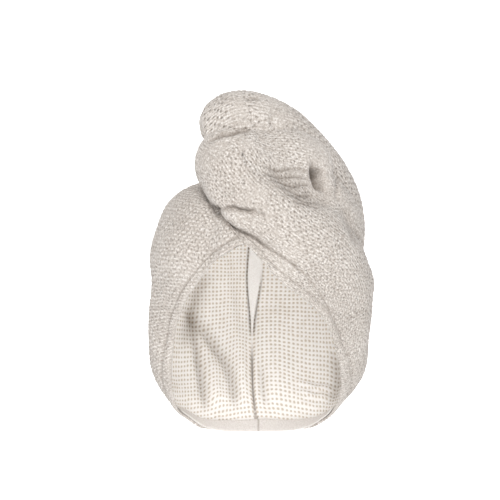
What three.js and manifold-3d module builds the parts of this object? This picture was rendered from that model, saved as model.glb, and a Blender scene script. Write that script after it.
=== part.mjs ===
import * as THREE from 'three';
import { mergeVertices } from 'three/addons/utils/BufferGeometryUtils.js';
import Module from 'manifold-3d';

// A hair turban towel, shown worn: a lined hood of crepe towelling, wound into a roll over the
// brow, with the tail of the roll laid over the crown and buttoned at the nape.
// Millimetres, +Z up. The face looks along -Y and +X is on the right of the front view.
// The origin is the crown of the lining, where the head carries the towel.

// Driving dimensions
const hoodHalfWidth = 100;
const hoodHalfLength = 105;
const hoodRise = 90;
const outerWall = 3;
const liningWall = 1.6;
const layerGap = 0.7;
const restGap = 1.1;
const seamGap = 0.4;
const hemWidth = 10;
const hemWall = 2;
const hemGap = 1.1;
const hemRoll = 1.2;
const liningSetback = 3;
const hemShort = 1;
const rollRadius = 36;
const tailRadius = 33;
const tailTabWall = 3.2;
const edgeWall = 1.5;
const foldHeight = 9;
const seamFoldWidth = 11;
const seamFoldWall = 2.4;
const buttonRadius = 11;
const buttonWall = 4;
const shankRadius = 3;
const shankSpare = 1.3;
const holeClearance = 0.9;

// The steps of the grids that the cloth is drawn on
const panelColumns = 22;
const panelRows = 20;
const rowCrowding = 1.35;
const rollColumns = 34;
const rollRows = 15;
const tailRings = 28;
const tailSides = 16;
const napeColumns = 28;
const napeRows = 3;
const stripRows = 14;
const ballSteps = 40;
const buttonSides = 20;
const holeSides = 16;

const { sin, cos, PI, min, max, sqrt, abs, atan2, acos } = Math;
const radians = (degrees) => degrees * PI / 180;
const degrees = (angle) => angle * 180 / PI;
const mix = (a, b, share) => a + (b - a) * share;
const ramp = (from, to, at) => {
  const share = min(max((at - from) / (to - from), 0), 1);
  return share * share * (3 - 2 * share);
};

// The middle of the head lies below the crown by the hood's rise less its walls.
const middle = new THREE.Vector3(0, 0, -(hoodRise - outerWall - layerGap - liningWall));
const hoodScale = new THREE.Vector3(hoodHalfWidth, hoodHalfLength, hoodRise);

// Outer form of the hood on its four meridians, as shares of its half width (left, right), half
// length (front, back) and rise. polar is the angle from the crown, square the section's fullness.
const hoodSections = [
  { polar: 0, left: 1.00, right: 1.00, front: 1.00, back: 1.00, square: 2.0 },
  { polar: 15, left: 1.05, right: 1.04, front: 1.02, back: 1.02, square: 2.0 },
  { polar: 30, left: 1.145, right: 1.10, front: 1.04, back: 1.04, square: 2.0 },
  { polar: 45, left: 1.15, right: 1.10, front: 1.03, back: 1.04, square: 2.1 },
  { polar: 60, left: 1.075, right: 1.04, front: 1.01, back: 1.03, square: 2.1 },
  { polar: 75, left: 1.025, right: 1.00, front: 1.00, back: 1.03, square: 2.2 },
  { polar: 90, left: 0.975, right: 1.045, front: 0.98, back: 1.05, square: 2.3 },
  { polar: 105, left: 1.03, right: 1.08, front: 0.97, back: 1.12, square: 2.4 },
  { polar: 120, left: 1.17, right: 1.17, front: 1.00, back: 1.24, square: 2.6 },
  { polar: 135, left: 1.41, right: 1.40, front: 1.08, back: 1.45, square: 2.9 },
  { polar: 152, left: 1.62, right: 1.62, front: 1.20, back: 1.81, square: 3.0 },
];

// The rim of the hood, all round from the back: its polar angle, its reach from the middle, and
// the degrees over which the dome turns in to it.
const rimSections = [
  { around: 0, polar: 152.3, reach: 1.82, turn: 20 },
  { around: 34, polar: 150.8, reach: 1.81, turn: 18 },
  { around: 48, polar: 148.5, reach: 1.71, turn: 16 },
  { around: 57, polar: 147.3, reach: 1.60, turn: 15 },
  { around: 66, polar: 146.6, reach: 1.50, turn: 15 },
  { around: 80, polar: 144.8, reach: 1.36, turn: 17 },
  { around: 97, polar: 140.6, reach: 1.20, turn: 24 },
  { around: 113, polar: 133, reach: 1.05, turn: 34 },
  { around: 126, polar: 122, reach: 0.95, turn: 40 },
  { around: 138, polar: 111.5, reach: 0.905, turn: 42 },
  { around: 151, polar: 102, reach: 0.89, turn: 42 },
  { around: 169, polar: 88, reach: 0.92, turn: 36 },
  { around: 180, polar: 75.5, reach: 0.985, turn: 26 },
  { around: 187, polar: 68, reach: 1.03, turn: 22 },
  { around: 198, polar: 70.5, reach: 0.98, turn: 26 },
  { around: 205, polar: 74, reach: 0.94, turn: 34 },
  { around: 212, polar: 80.5, reach: 0.89, turn: 40 },
  { around: 220, polar: 89, reach: 0.845, turn: 42 },
  { around: 240, polar: 109.5, reach: 0.86, turn: 42 },
  { around: 252, polar: 121.5, reach: 0.93, turn: 40 },
  { around: 263, polar: 131.5, reach: 1.05, turn: 32 },
  { around: 273, polar: 139, reach: 1.22, turn: 24 },
  { around: 290, polar: 145, reach: 1.465, turn: 17 },
  { around: 302, polar: 146.7, reach: 1.63, turn: 15 },
  { around: 312, polar: 147.5, reach: 1.725, turn: 15 },
  { around: 325, polar: 150.6, reach: 1.82, turn: 17 },
];
// The bearing of the brow, and in degrees: how far the left panel's edge leans past it towards the
// crown, how far the right panel runs on under it, and how far that end stops short of the rim.
const brow = 187;
const flapLean = 22;
const underRun = 10;
const tuckBack = 4;
const rimHem = { starts: 12, full: 1 };

// The roll over the brow, as balls threaded on the paths of its two arms and of the core between
// them: places as shares of the hood's half width, half length and rise from the middle, and the
// radius as a share of the roll's.
const lowerArm = [
  { x: 0.72, y: -0.30, z: 0.02, radius: 0.60 },
  { x: 0.56, y: -0.48, z: 0.30, radius: 0.84 },
  { x: 0.28, y: -0.64, z: 0.53, radius: 0.98 },
  { x: 0.035, y: -0.69, z: 0.79, radius: 1.04 },
  { x: -0.165, y: -0.62, z: 1.09, radius: 1.00 },
];
const upperArm = [
  { x: -0.165, y: -0.60, z: 1.09, radius: 0.98 },
  { x: -0.235, y: -0.56, z: 1.22, radius: 0.90 },
  { x: -0.02, y: -0.54, z: 1.21, radius: 0.86 },
  { x: 0.22, y: -0.47, z: 1.20, radius: 0.86 },
  { x: 0.38, y: -0.38, z: 1.16, radius: 0.78 },
];
const core = [
  { x: 0.08, y: -0.50, z: 0.98, radius: 0.92 },
  { x: 0.42, y: -0.40, z: 0.88, radius: 0.80 },
  { x: 0.60, y: -0.24, z: 0.72, radius: 0.72 },
  { x: 0.69, y: -0.06, z: 0.58, radius: 0.62 },
];
// How softly the forms run into each other, in millimetres.
const blends = { arms: 16, brow: 3, side: 26 };
const dimple = { x: 0.52, y: -0.43, z: 1.05, radius: 0.17, depth: 0.42 };

// The tail, from the cap over the crown to its tab at the nape, in the same shares.
const tailPath = [
  { x: -0.52, y: -0.40, z: 1.50, width: 0.10, height: 0.10 },
  { x: -0.48, y: -0.40, z: 1.51, width: 0.50, height: 0.50 },
  { x: -0.38, y: -0.41, z: 1.52, width: 0.84, height: 0.84 },
  { x: -0.18, y: -0.40, z: 1.53, width: 1.04, height: 1.04 },
  { x: 0.04, y: -0.33, z: 1.49, width: 1.02, height: 1.02 },
  { x: 0.24, y: -0.17, z: 1.35, width: 1.15, height: 1.06 },
  { x: 0.46, y: 0.05, z: 1.10, width: 1.25, height: 1.06 },
  { x: 0.60, y: 0.28, z: 0.80, width: 1.30, height: 1.08 },
  { x: 0.63, y: 0.48, z: 0.46, width: 1.30, height: 1.06 },
  { x: 0.56, y: 0.68, z: 0.06, width: 1.25, height: 0.94 },
  { x: 0.40, y: 0.84, z: -0.42, width: 1.10, height: 0.80 },
  { x: 0.20, y: 0.95, z: -0.94, width: 0.80, height: 0.60 },
  { x: 0.08, y: 0.97, z: -1.30, width: 0.44, height: 0.34 },
  { x: 0.00, y: 0.95, z: -1.42, width: 0.34, height: 0.24 },
  { x: 0.00, y: 0.95, z: -1.47, width: 0.10, height: 0.10 },
];
const tailTwist = { lobes: 3, turns: 2.5, depth: 0.09 };
const tailTab = { starts: 0.67, full: 0.79 };

// Soft folds of the lining: ridges that stand in towards the head, each from a place at the top
// to one at the bottom, as angles about the middle, its width in degrees and its share of height.
const liningFolds = [
  { aroundTop: 322, polarTop: 80, aroundLow: 338, polarLow: 146, width: 13, height: 1.0 },
  { aroundTop: 296, polarTop: 96, aroundLow: 316, polarLow: 142, width: 11, height: 0.75 },
  { aroundTop: 16, polarTop: 84, aroundLow: 14, polarLow: 146, width: 10, height: 0.45 },
  { aroundTop: 52, polarTop: 88, aroundLow: 40, polarLow: 144, width: 16, height: 0.8 },
];
const foldFade = { top: 0.3, low: 0.9, end: 1.3 };
const seamFold = { polarTop: 62, polarLow: 117, around: -1.5, narrowsFrom: 0.35, tip: 0.12 };
const nape = { spread: 62, buttonPolar: 143.5 };

// A smooth curve through one column of a table.
function curveThrough(rows, along, name, period = 0) {
  const knots = rows.map((row) => [row[along], row[name]]);
  if (period) {
    const [first, second] = knots;
    const [beforeLast, last] = knots.slice(-2);
    knots.unshift([beforeLast[0] - period, beforeLast[1]], [last[0] - period, last[1]]);
    knots.push([first[0] + period, first[1]], [second[0] + period, second[1]]);
  }
  const slopes = knots.map((knot, i) => {
    const before = knots[max(i - 1, 0)];
    const after = knots[min(i + 1, knots.length - 1)];
    return (after[1] - before[1]) / (after[0] - before[0]);
  });
  return (at) => {
    let i = 0;
    while (i < knots.length - 2 && at > knots[i + 1][0]) i += 1;
    const [start, from] = knots[i];
    const [end, to] = knots[i + 1];
    const span = end - start;
    const t = (at - start) / span;
    const lean = slopes[i] * (1 - t) - slopes[i + 1] * t;
    return mix(from, to, t * t * (3 - 2 * t)) + t * (1 - t) * span * lean;
  };
}

const meridians = Object.fromEntries(['left', 'right', 'front', 'back', 'square']
  .map((name) => [name, curveThrough(hoodSections, 'polar', name)]));
const rimPolar = curveThrough(rimSections, 'around', 'polar', 360);
const rimReach = curveThrough(rimSections, 'around', 'reach', 360);
const rimTurn = curveThrough(rimSections, 'around', 'turn', 360);

// Turns the angles round the head and down from the crown into a direction, before scaling.
const direction = (around, polar) => new THREE.Vector3(
  sin(radians(polar)) * sin(radians(around)),
  sin(radians(polar)) * cos(radians(around)),
  cos(radians(polar)),
);

function domeShare(around, polar) {
  const across = sin(radians(around));
  const along = cos(radians(around));
  const side = meridians[across < 0 ? 'left' : 'right'](polar);
  const end = meridians[along < 0 ? 'front' : 'back'](polar);
  const power = meridians.square(polar);
  return ((abs(across) / side) ** power + (abs(along) / end) ** power) ** (-1 / power);
}

// The angles of a direction, as they are used in the tables.
const anglesOf = (unit) => ({
  around: (degrees(atan2(unit.x, unit.y)) + 360) % 360,
  polar: degrees(acos(min(max(unit.z, -1), 1))),
});

// The hood's outer face. Near the rim it turns in from the dome to the rim's own reach.
function hoodPoint(around, polar) {
  const edge = rimPolar(around);
  const turn = max(1 - (edge - polar) / rimTurn(around), 0) ** 2;
  const share = domeShare(around, polar) - (domeShare(around, edge) - rimReach(around)) * turn;
  return direction(around, polar).multiplyScalar(share).multiply(hoodScale).add(middle);
}

// Moves a point along its ray from the middle of the head, outwards by the given distance.
function moveOut(point, distance) {
  const ray = point.clone().sub(middle);
  return point.clone().addScaledVector(ray.normalize(), distance);
}

const placeFromMiddle = (row) => new THREE.Vector3(row.x, row.y, row.z).multiply(hoodScale).add(middle);

// Balls threaded closely on a path, so that together they read as one smooth arm.
function ballsAlong(rows) {
  const path = new THREE.CatmullRomCurve3(rows.map(placeFromMiddle));
  const sizes = new THREE.CatmullRomCurve3(rows.map((row) => new THREE.Vector3(row.radius, 0, 0)));
  return Array.from({ length: ballSteps + 1 }, (_, i) => ({
    centre: path.getPoint(i / ballSteps),
    radius: sizes.getPoint(i / ballSteps).x * rollRadius,
  }));
}
const lowerBalls = ballsAlong(lowerArm);
const upperBalls = ballsAlong(upperArm);
const coreBalls = ballsAlong(core);

// How far out the ray from the middle leaves the last of the balls, or zero where it misses them.
function reachOfBalls(balls, ray) {
  let reach = 0;
  for (const { centre, radius } of balls) {
    const toward = centre.clone().sub(middle);
    const along = toward.dot(ray);
    const inside = radius * radius - toward.lengthSq() + along * along;
    if (inside > 0) reach = max(reach, along + sqrt(inside));
  }
  return reach;
}

function smoothMax(a, b, blend) {
  const overlap = max(blend - abs(a - b), 0) / blend;
  return max(a, b) + overlap * overlap * blend / 4;
}

// The cloth's outer face with the roll on it: the hood, or the arms of the roll where they
// stand out of it, with the dimple at the end of the upper arm.
function rolledReach(around, polar) {
  const hood = hoodPoint(around, polar).sub(middle);
  const hoodReach = hood.length();
  const ray = hood.clone().divideScalar(hoodReach);
  const wound = smoothMax(reachOfBalls(lowerBalls, ray), reachOfBalls(upperBalls, ray), blends.arms);
  const arms = smoothMax(wound, reachOfBalls(coreBalls, ray), blends.arms);
  const toSide = ramp(0.1 * hoodHalfWidth, 0.6 * hoodHalfWidth, hood.x);
  const fromRim = ramp(2, 16, rimPolar(around) - polar);
  const blend = mix(blends.brow, blends.side, toSide * fromRim);
  const reach = smoothMax(hoodReach, arms, blend);
  const pit = placeFromMiddle(dimple).sub(middle).normalize().distanceTo(ray) / dimple.radius;
  const dip = dimple.depth * rollRadius * Math.exp(-pit * pit * 4);
  return { ray, hoodReach, reach: max(reach - dip, hoodReach) };
}

// A closed solid between two skins on the same grid. A ring grid has no side walls.
function solidBetween(over, under, columns, rows, isRing = false) {
  const positions = [];
  const faces = [];
  for (const skin of [over, under]) {
    for (let i = 0; i <= columns; i += 1) {
      for (let j = 0; j <= rows; j += 1) {
        positions.push(...skin(isRing ? (i % columns) / columns : i / columns, j / rows).toArray());
      }
    }
  }
  const layer = (columns + 1) * (rows + 1);
  const at = (i, j, under) => i * (rows + 1) + j + (under ? layer : 0);
  const quad = (a, b, c, d) => faces.push(a, b, c, a, c, d);
  for (let i = 0; i < columns; i += 1) {
    for (let j = 0; j < rows; j += 1) {
      quad(at(i, j), at(i + 1, j), at(i + 1, j + 1), at(i, j + 1));
      quad(at(i, j, true), at(i, j + 1, true), at(i + 1, j + 1, true), at(i + 1, j, true));
    }
    quad(at(i, rows), at(i + 1, rows), at(i + 1, rows, true), at(i, rows, true));
    if (!isRing) quad(at(i, 0, true), at(i + 1, 0, true), at(i + 1, 0), at(i, 0));
  }
  for (let j = 0; j < rows && !isRing; j += 1) {
    quad(at(0, j), at(0, j + 1), at(0, j + 1, true), at(0, j, true));
    quad(at(columns, j, true), at(columns, j + 1, true), at(columns, j + 1), at(columns, j));
  }
  return closedGeometry(positions, faces);
}

// Merges shared corners, drops faces without area and turns the faces outwards.
function closedGeometry(positions, faces) {
  const raw = new THREE.BufferGeometry();
  raw.setAttribute('position', new THREE.Float32BufferAttribute(positions, 3));
  raw.setIndex(faces);
  const merged = mergeVertices(raw, 1e-3);
  const index = merged.index.array;
  const points = merged.getAttribute('position');
  const corner = (i) => new THREE.Vector3().fromBufferAttribute(points, i);
  const kept = [];
  let volume = 0;
  for (let i = 0; i < index.length; i += 3) {
    const [a, b, c] = index.slice(i, i + 3);
    if (a === b || b === c || c === a) continue;
    kept.push([a, b, c]);
    volume += corner(a).dot(corner(b).cross(corner(c)));
  }
  merged.setIndex(kept.flatMap(([a, b, c]) => (volume > 0 ? [a, b, c] : [a, c, b])));
  merged.computeVertexNormals();
  return merged;
}

// Rows lie closer together towards the rim, where the cloth turns in.
const downShare = (t) => 1 - (1 - t) ** rowCrowding;

// One panel runs from the back seam (share 0) to the brow (share 1), on its own side.
const flapEdge = (t) => brow + flapLean * (1 - t);
const underEdge = brow + underRun;
const aroundLeft = (s, t) => mix(360, flapEdge(t), s);
const aroundRight = (s) => mix(0, underEdge, s);
const aside = (point, distance) => point.add(new THREE.Vector3(distance, 0, 0));

// The left panel's front edge laps over the right panel, so it is lifted by a wall and a gap.
const lapLift = (around) => (outerWall + layerGap) * ramp(underEdge + 12, underEdge + 1, around);
// The right panel's end under the lap stops short of the rim.
const lapShort = (around) => tuckBack * ramp(brow - 1, brow + 3, around);
// The turned hem makes the cloth thicker along the rim.
const hemSwell = (around, polar) => hemRoll * ramp(rimHem.starts, rimHem.full, rimPolar(around) - polar);

const hoodColours = { outer: 0xd6cfc7, lining: 0xe2dbd0, hem: 0xe8e2d8, fold: 0xece7de, button: 0xb7ab9b };

function leftSkin(inset, apart = seamGap / 2) {
  return (s, t) => {
    const around = aroundLeft(s, t);
    const polar = rimPolar(around) * downShare(t);
    const swell = inset > 0 ? 0 : hemSwell(around, polar);
    const lift = lapLift(around) * ramp(0, 0.4, t);
    return aside(moveOut(hoodPoint(around, polar), lift + swell - inset), -apart);
  };
}

function rightSkin(inset, apart = seamGap / 2) {
  return (s, t) => {
    const around = aroundRight(s);
    const polar = (rimPolar(around) - lapShort(around)) * downShare(t);
    const swell = inset > 0 ? 0 : hemSwell(around, polar) * ramp(brow + 2, brow - 6, around);
    return aside(moveOut(hoodPoint(around, polar), swell - inset), apart);
  };
}

const hoodLeft = solidBetween(leftSkin(0), leftSkin(outerWall), panelColumns, panelRows);
const hoodRight = solidBetween(rightSkin(0), rightSkin(outerWall), panelColumns, panelRows);

// How far the lining's folds stand in towards the head at a place.
function foldAt(around, polar) {
  let height = 0;
  for (const fold of liningFolds) {
    const down = (polar - fold.polarTop) / (fold.polarLow - fold.polarTop);
    const middleAround = mix(fold.aroundTop, fold.aroundLow, ramp(0, 1, down));
    const off = ((around - middleAround + 540) % 360 - 180) / fold.width;
    const fade = ramp(-foldFade.top, foldFade.top, down) * ramp(foldFade.end, foldFade.low, down);
    height += fold.height * Math.exp(-off * off) * fade;
  }
  return height * foldHeight;
}

function liningSkin(isLeft, inset) {
  const back = isLeft ? 360 : 0;
  return (s, t) => {
    const across = isLeft ? aroundLeft(s, t) : min(aroundRight(s), brow - 1);
    const around = s === 1 ? brow : across;
    const full = rimPolar(around) * downShare(t);
    const polar = min(full, rimPolar(around) - liningSetback);
    const seamFade = ramp(0, 4, abs(around - back)) * ramp(0, 8, abs(around - brow));
    const fold = foldAt(around, polar) * seamFade * ramp(6, 16, rimPolar(around) - polar);
    const ease = layerGap * ramp(16, 5, abs(around - brow));
    const depth = outerWall + layerGap + inset + fold + ease;
    return aside(moveOut(hoodPoint(around, polar), -depth), isLeft ? -seamGap / 2 : seamGap / 2);
  };
}

const liningPanel = (isLeft) => solidBetween(
  liningSkin(isLeft, 0), liningSkin(isLeft, liningWall), panelColumns, panelRows);
const liningLeft = liningPanel(true);
const liningRight = liningPanel(false);

// The cream band along the nape, on the lining's inner face.
function hemSkin(inset) {
  return (s, t) => {
    const around = mix(-nape.spread, nape.spread, s);
    const bearing = (around + 360) % 360;
    const depth = degrees(hemWidth / (rimReach(bearing) * hoodHalfLength));
    const polar = rimPolar(bearing) - hemShort - depth * (1 - t);
    const under = outerWall + layerGap + liningWall + hemGap + inset;
    return moveOut(hoodPoint(bearing, polar), -under);
  };
}
const napeHem = solidBetween(hemSkin(0), hemSkin(hemWall), napeColumns, napeRows);

// The folded strip on the lining's back seam, wide at the top and drawn to a point below.
function stripSkin(inset) {
  return (s, t) => {
    const polar = mix(seamFold.polarTop, seamFold.polarLow, t);
    const taper = mix(1, seamFold.tip, ramp(seamFold.narrowsFrom, 1, t));
    const across = degrees((s - 0.5) * seamFoldWidth * taper / hoodHalfLength) + seamFold.around;
    const bearing = (across + 360) % 360;
    const under = outerWall + layerGap + liningWall + layerGap + inset;
    return moveOut(hoodPoint(bearing, polar), -under);
  };
}
const seamStrip = solidBetween(stripSkin(0), stripSkin(seamFoldWall), 2, stripRows);

// The roll is solid wound cloth from the hood's face out to the rolled face. Its edge is found
// on each bearing about its own middle, where it has thinned to the edge wall.
const rollAxis = new THREE.Vector3(0.02, -0.62, 0.92).normalize();
const rollRight = new THREE.Vector3(1, 0, 0).addScaledVector(rollAxis, -rollAxis.x).normalize();
const rollUp = new THREE.Vector3().crossVectors(rollAxis, rollRight);
const rollSearch = { from: 12, step: 0.5, shortOfRim: 5, evened: 0.4 };

function rollAngles(bearing, spread) {
  const ray = rollAxis.clone().multiplyScalar(cos(spread))
    .addScaledVector(rollRight, sin(spread) * cos(bearing))
    .addScaledVector(rollUp, sin(spread) * sin(bearing));
  return anglesOf(ray);
}

function rollThickness(bearing, spread) {
  const { around, polar } = rollAngles(bearing, spread);
  if (polar > rimPolar(around) - rollSearch.shortOfRim) return 0;
  const { reach, hoodReach } = rolledReach(around, polar);
  return reach - hoodReach;
}

// What lies on the hood clears the lap too, which ends at the brow.
const clearOver = (around) => restGap + lapLift(around) * ramp(brow - 9, brow - 3, around);
const foundSpreads = Array.from({ length: rollColumns }, (_, i) => {
  const bearing = 2 * PI * i / rollColumns;
  let spread = rollSearch.from;
  const isThick = (at) => rollThickness(bearing, radians(at)) > restGap + 2 * edgeWall;
  while (isThick(spread)) spread += rollSearch.step;
  return radians(spread);
});
// The edge is evened out a little between neighbouring bearings.
const rollSpreads = foundSpreads.map((spread, i) => {
  const before = foundSpreads[(i + rollColumns - 1) % rollColumns];
  return mix(spread, (before + foundSpreads[(i + 1) % rollColumns]) / 2, rollSearch.evened);
});

// clearance makes the roll a little larger all round, as the tool that parts the tail from it.
function rollSkin(isOver, clearance = 0) {
  return (s, t) => {
    const column = Math.round(s * rollColumns) % rollColumns;
    const beyond = t === 1 ? clearance / hoodHalfWidth : 0;
    const { around, polar } = rollAngles(2 * PI * column / rollColumns, rollSpreads[column] * t + beyond);
    const { reach, hoodReach, ray } = rolledReach(around, polar);
    const thinnest = hoodReach + clearOver(around) + edgeWall;
    const out = isOver ? max(reach, thinnest) + clearance : hoodReach - outerWall / 2;
    return middle.clone().addScaledVector(ray, out);
  };
}
const rollSolid = (clearance) => solidBetween(
  rollSkin(true, clearance), rollSkin(false, clearance), rollColumns, rollRows, true);

// The tail is swept along its path with its flat side to the head, a little twisted, and every
// part of it that would sink into the hood or the roll is pressed out to rest on them.
const tailCurve = new THREE.CatmullRomCurve3(tailPath.map(placeFromMiddle));
const tailSizes = new THREE.CatmullRomCurve3(
  tailPath.map((row) => new THREE.Vector3(row.width, row.height, 0).multiplyScalar(tailRadius)));

function pressedOut(point, share) {
  const offset = point.clone().sub(middle);
  const reach = offset.length();
  const { around, polar } = anglesOf(offset.clone().divide(hoodScale).normalize());
  const rolled = rolledReach(around, min(polar, rimPolar(around)));
  const floor = rolled.reach - outerWall / 2;
  const room = mix(tailRadius * 3, restGap + tailTabWall, ramp(tailTab.starts, tailTab.full, share));
  const pressed = min(max(reach, floor), rolled.reach + room);
  return middle.clone().addScaledVector(offset.divideScalar(reach), pressed);
}

function tailRing(share) {
  const centre = tailCurve.getPoint(share);
  const size = tailSizes.getPoint(share);
  const tangent = tailCurve.getTangent(share);
  const outward = centre.clone().sub(middle);
  outward.addScaledVector(tangent, -outward.dot(tangent)).normalize();
  const across = new THREE.Vector3().crossVectors(tangent, outward);
  return Array.from({ length: tailSides }, (_, i) => {
    const angle = 2 * PI * i / tailSides;
    const wind = tailTwist.lobes * angle + 2 * PI * tailTwist.turns * share;
    const groove = 1 - tailTwist.depth * (0.5 + 0.5 * cos(wind));
    return pressedOut(centre.clone()
      .addScaledVector(across, size.x * groove * cos(angle))
      .addScaledVector(outward, size.y * groove * sin(angle)), share);
  });
}

function tailGeometry() {
  const positions = [];
  const faces = [];
  for (let j = 0; j <= tailRings; j += 1) {
    for (const point of tailRing(j / tailRings)) positions.push(...point.toArray());
  }
  const at = (j, i) => j * tailSides + (i % tailSides);
  for (let j = 0; j < tailRings; j += 1) {
    for (let i = 0; i < tailSides; i += 1) {
      faces.push(at(j, i), at(j, i + 1), at(j + 1, i + 1), at(j, i), at(j + 1, i + 1), at(j + 1, i));
    }
  }
  for (let i = 1; i < tailSides - 1; i += 1) {
    faces.push(at(0, 0), at(0, i + 1), at(0, i));
    faces.push(at(tailRings, 0), at(tailRings, i), at(tailRings, i + 1));
  }
  return closedGeometry(positions, faces);
}

// The button stands on the hood at the nape, its shank through a hole in the tail's tab.
const seat = hoodPoint(0, nape.buttonPolar);
const below = hoodPoint(0, nape.buttonPolar + 2).sub(seat).normalize();
const buttonAxis = new THREE.Vector3(1, 0, 0).cross(below).normalize();
const buttonTurn = new THREE.Quaternion().setFromUnitVectors(new THREE.Vector3(0, 1, 0), buttonAxis);
const shankLength = restGap + tailTabWall + shankSpare;

function buttonGeometry() {
  const top = shankLength + buttonWall;
  const shoulder = shankLength + buttonWall * 0.55;
  const profile = [
    [0, layerGap], [shankRadius, layerGap], [shankRadius, shankLength], [buttonRadius, shankLength],
    [buttonRadius, shoulder], [buttonRadius * 0.75, top], [0, top],
  ].map(([radius, height]) => new THREE.Vector2(radius, height));
  return new THREE.LatheGeometry(profile, buttonSides);
}

const wasm = await Module();
wasm.setup();

function toManifold(geometry) {
  const bare = geometry.clone();
  bare.deleteAttribute('normal');
  bare.deleteAttribute('uv');
  const merged = mergeVertices(bare, 1e-4);
  return new wasm.Manifold(new wasm.Mesh({
    numProp: 3,
    vertProperties: new Float32Array(merged.getAttribute('position').array),
    triVerts: new Uint32Array(merged.index.array),
  }));
}

function fromManifold(solid) {
  const mesh = solid.getMesh();
  return closedGeometry(Array.from(mesh.vertProperties), Array.from(mesh.triVerts));
}

const holeRadius = shankRadius + holeClearance;
const holeTool = new THREE.CylinderGeometry(holeRadius, holeRadius, 6 * shankLength, holeSides);
holeTool.applyQuaternion(buttonTurn).translate(seat.x, seat.y, seat.z);

// The roll and the tail are parted from the hood by its own skins, grown by the gap and thickened
// far into the head, so that no facet of theirs reaches the lining.
const toolDepth = hoodHalfWidth / 3;
const toolOf = (skin) => toManifold(solidBetween(
  skin(-restGap, -seamGap / 2), skin(toolDepth, -seamGap / 2), panelColumns, panelRows));
const leftTool = toolOf(leftSkin);
const rightTool = toolOf(rightSkin);
const restOnHood = (solid) => solid.subtract(leftTool).subtract(rightTool);
// A cut can leave a scrap of cloth beside the piece: the largest body is the piece.
const mainBody = (solid) => solid.decompose().reduce((a, b) => (a.volume() > b.volume() ? a : b));
const frontTwist = fromManifold(mainBody(restOnHood(toManifold(rollSolid(0)))));
const twistTail = fromManifold(mainBody(restOnHood(toManifold(tailGeometry()))
  .subtract(toManifold(rollSolid(restGap))).subtract(toManifold(holeTool))));

function piece(name, geometry, colour, roughness = 0.95) {
  const material = new THREE.MeshStandardMaterial({ color: colour, roughness, metalness: 0 });
  const mesh = new THREE.Mesh(geometry, material);
  mesh.name = name;
  return mesh;
}

const group = new THREE.Group();
group.add(piece('hood_left', hoodLeft, hoodColours.outer));
group.add(piece('hood_right', hoodRight, hoodColours.outer));
group.add(piece('front_twist', frontTwist, hoodColours.outer));
group.add(piece('twist_tail', twistTail, hoodColours.outer));
group.add(piece('lining_left', liningLeft, hoodColours.lining));
group.add(piece('lining_right', liningRight, hoodColours.lining));
group.add(piece('nape_hem', napeHem, hoodColours.hem));
group.add(piece('seam_fold', seamStrip, hoodColours.fold));
const button = piece('nape_button', buttonGeometry(), hoodColours.button, 0.6);
button.quaternion.copy(buttonTurn);
button.position.copy(seat);
group.add(button);

export default group;
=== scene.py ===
import math
import bmesh
import bpy
import numpy as np
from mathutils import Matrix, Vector


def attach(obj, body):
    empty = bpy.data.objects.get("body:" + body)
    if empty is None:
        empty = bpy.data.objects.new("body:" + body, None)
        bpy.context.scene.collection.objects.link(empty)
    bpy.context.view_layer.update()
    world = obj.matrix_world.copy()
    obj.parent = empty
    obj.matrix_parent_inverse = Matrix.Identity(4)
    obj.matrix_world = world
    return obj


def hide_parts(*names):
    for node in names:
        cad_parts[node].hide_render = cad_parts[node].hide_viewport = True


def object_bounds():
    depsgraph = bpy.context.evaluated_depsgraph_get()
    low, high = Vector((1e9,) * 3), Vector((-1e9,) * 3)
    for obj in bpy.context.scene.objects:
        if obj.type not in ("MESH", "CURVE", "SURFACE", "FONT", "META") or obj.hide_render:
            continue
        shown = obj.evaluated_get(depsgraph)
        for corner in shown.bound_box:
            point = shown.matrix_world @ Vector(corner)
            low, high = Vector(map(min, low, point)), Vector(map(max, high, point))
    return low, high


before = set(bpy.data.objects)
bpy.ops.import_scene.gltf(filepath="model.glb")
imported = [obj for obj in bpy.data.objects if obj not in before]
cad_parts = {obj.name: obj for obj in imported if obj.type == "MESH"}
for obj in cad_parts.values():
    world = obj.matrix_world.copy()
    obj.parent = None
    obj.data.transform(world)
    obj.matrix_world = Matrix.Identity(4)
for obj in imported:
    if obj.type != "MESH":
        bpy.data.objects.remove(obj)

cadLow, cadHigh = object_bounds()
mm = 0.001

# Camera: level, straight at the face opening, far enough back that the towel looks as flat as
# in a product photograph. It comes first, because everything is judged through it.
view = {"distance": 1800.0, "aimX": -7.4, "aimZ": -56.1, "fieldWidth": 460.0, "sensor": 36.0}


def addCamera(form):
    # The lens is the sensor's width times the distance over the width of the field.
    data = bpy.data.cameras.new("product camera")
    data.sensor_width = form["sensor"]
    data.lens = form["sensor"] * form["distance"] / form["fieldWidth"]
    data.clip_end = 50
    camera = bpy.data.objects.new("product camera", data)
    camera.location = (form["aimX"] * mm, -form["distance"] * mm, form["aimZ"] * mm)
    camera.rotation_euler = (math.radians(90), 0, 0)
    bpy.context.scene.collection.objects.link(camera)
    bpy.context.scene.camera = camera


addCamera(view)
print("camera set")

# The towel's real sizes in millimetres. The forms below are shares of these, and other lengths
# are in millimetres too.
towel = {
    "halfWidth": 100.0, "halfLength": 105.0, "rise": 90.0,
    "outerWall": 3.0, "liningWall": 1.6, "layerGap": 0.7,
    "rollRadius": 36.0, "tailRadius": 33.0,
}
hoodScale = np.array([towel["halfWidth"], towel["halfLength"], towel["rise"]])
wallStack = towel["outerWall"] + towel["layerGap"] + towel["liningWall"]
middle = np.array([0.0, 0.0, wallStack - towel["rise"]])


def table(names, rows):
    # Turns rows of numbers into one array for each named column.
    return dict(zip(names.split(), np.array(rows, float).T))


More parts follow.
